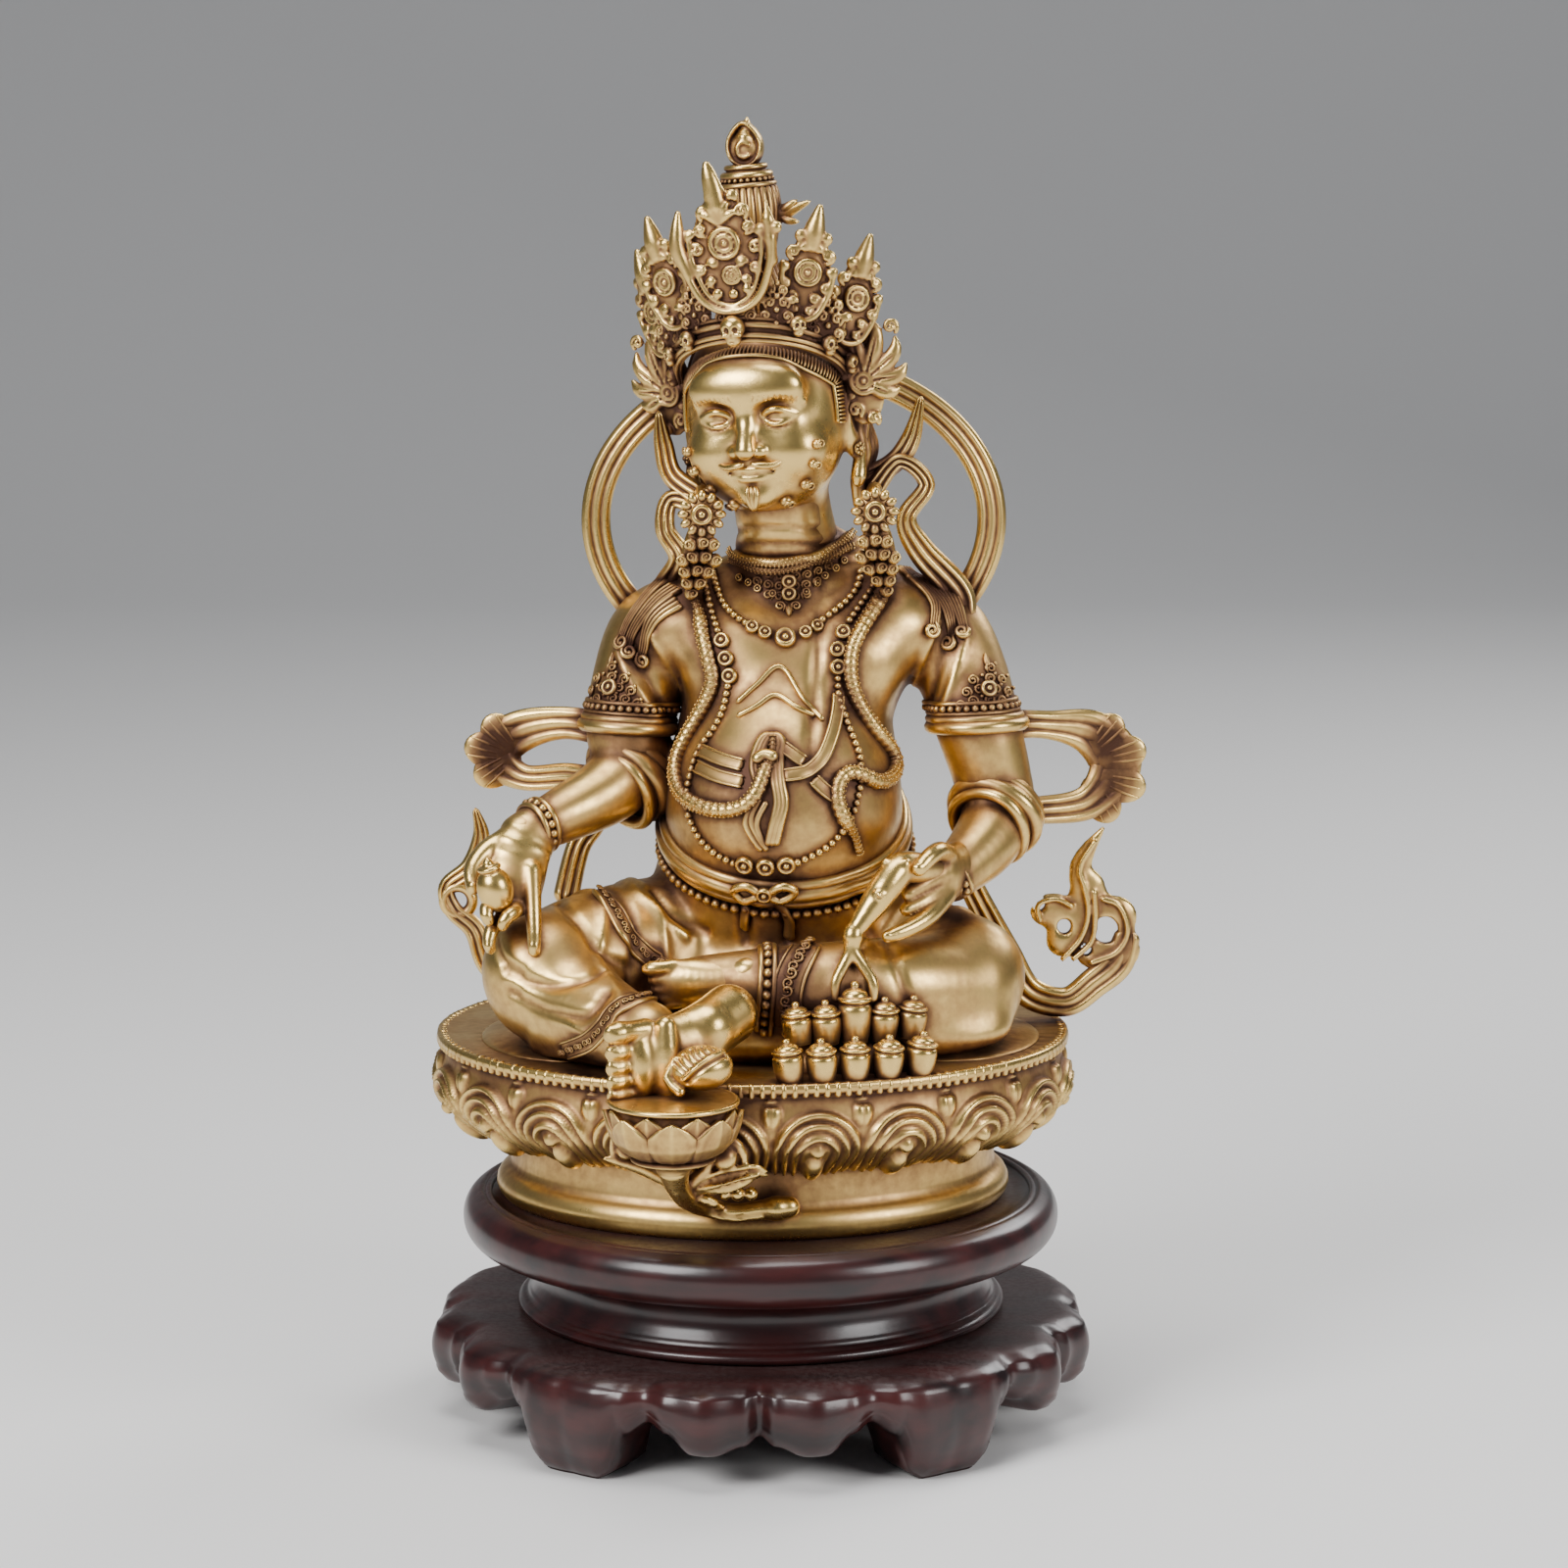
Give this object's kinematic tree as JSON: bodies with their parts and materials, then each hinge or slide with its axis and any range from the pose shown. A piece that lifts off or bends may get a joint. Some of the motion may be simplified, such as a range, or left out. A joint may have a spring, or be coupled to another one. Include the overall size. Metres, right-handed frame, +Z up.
{
  "type": "seated deity figure on stand",
  "caption": "Cast brass god of wealth seated in royal ease on an oval lotus throne, with crown, scarves and jewel pots, on a turned and carved hardwood stand.",
  "frame": {"origin": "middle of the box round the whole object, on the surface it stands on", "axes": "+Z up; the figure faces -Y, and +X is on the viewer's right when facing it"},
  "size_m": [0.1968, 0.1934, 0.3555],
  "materials": {
    "polished_bronze": "polished yellow bronze with brown patina in the recesses",
    "dark_hardwood": "very dark red-brown lacquer, polished on the mouldings and dusty on the flats"
  },
  "bodies": {
    "root": {"bronze_figure": "polished_bronze", "stand_top": "dark_hardwood", "stand_base": "dark_hardwood"}
  },
  "joints": []
}
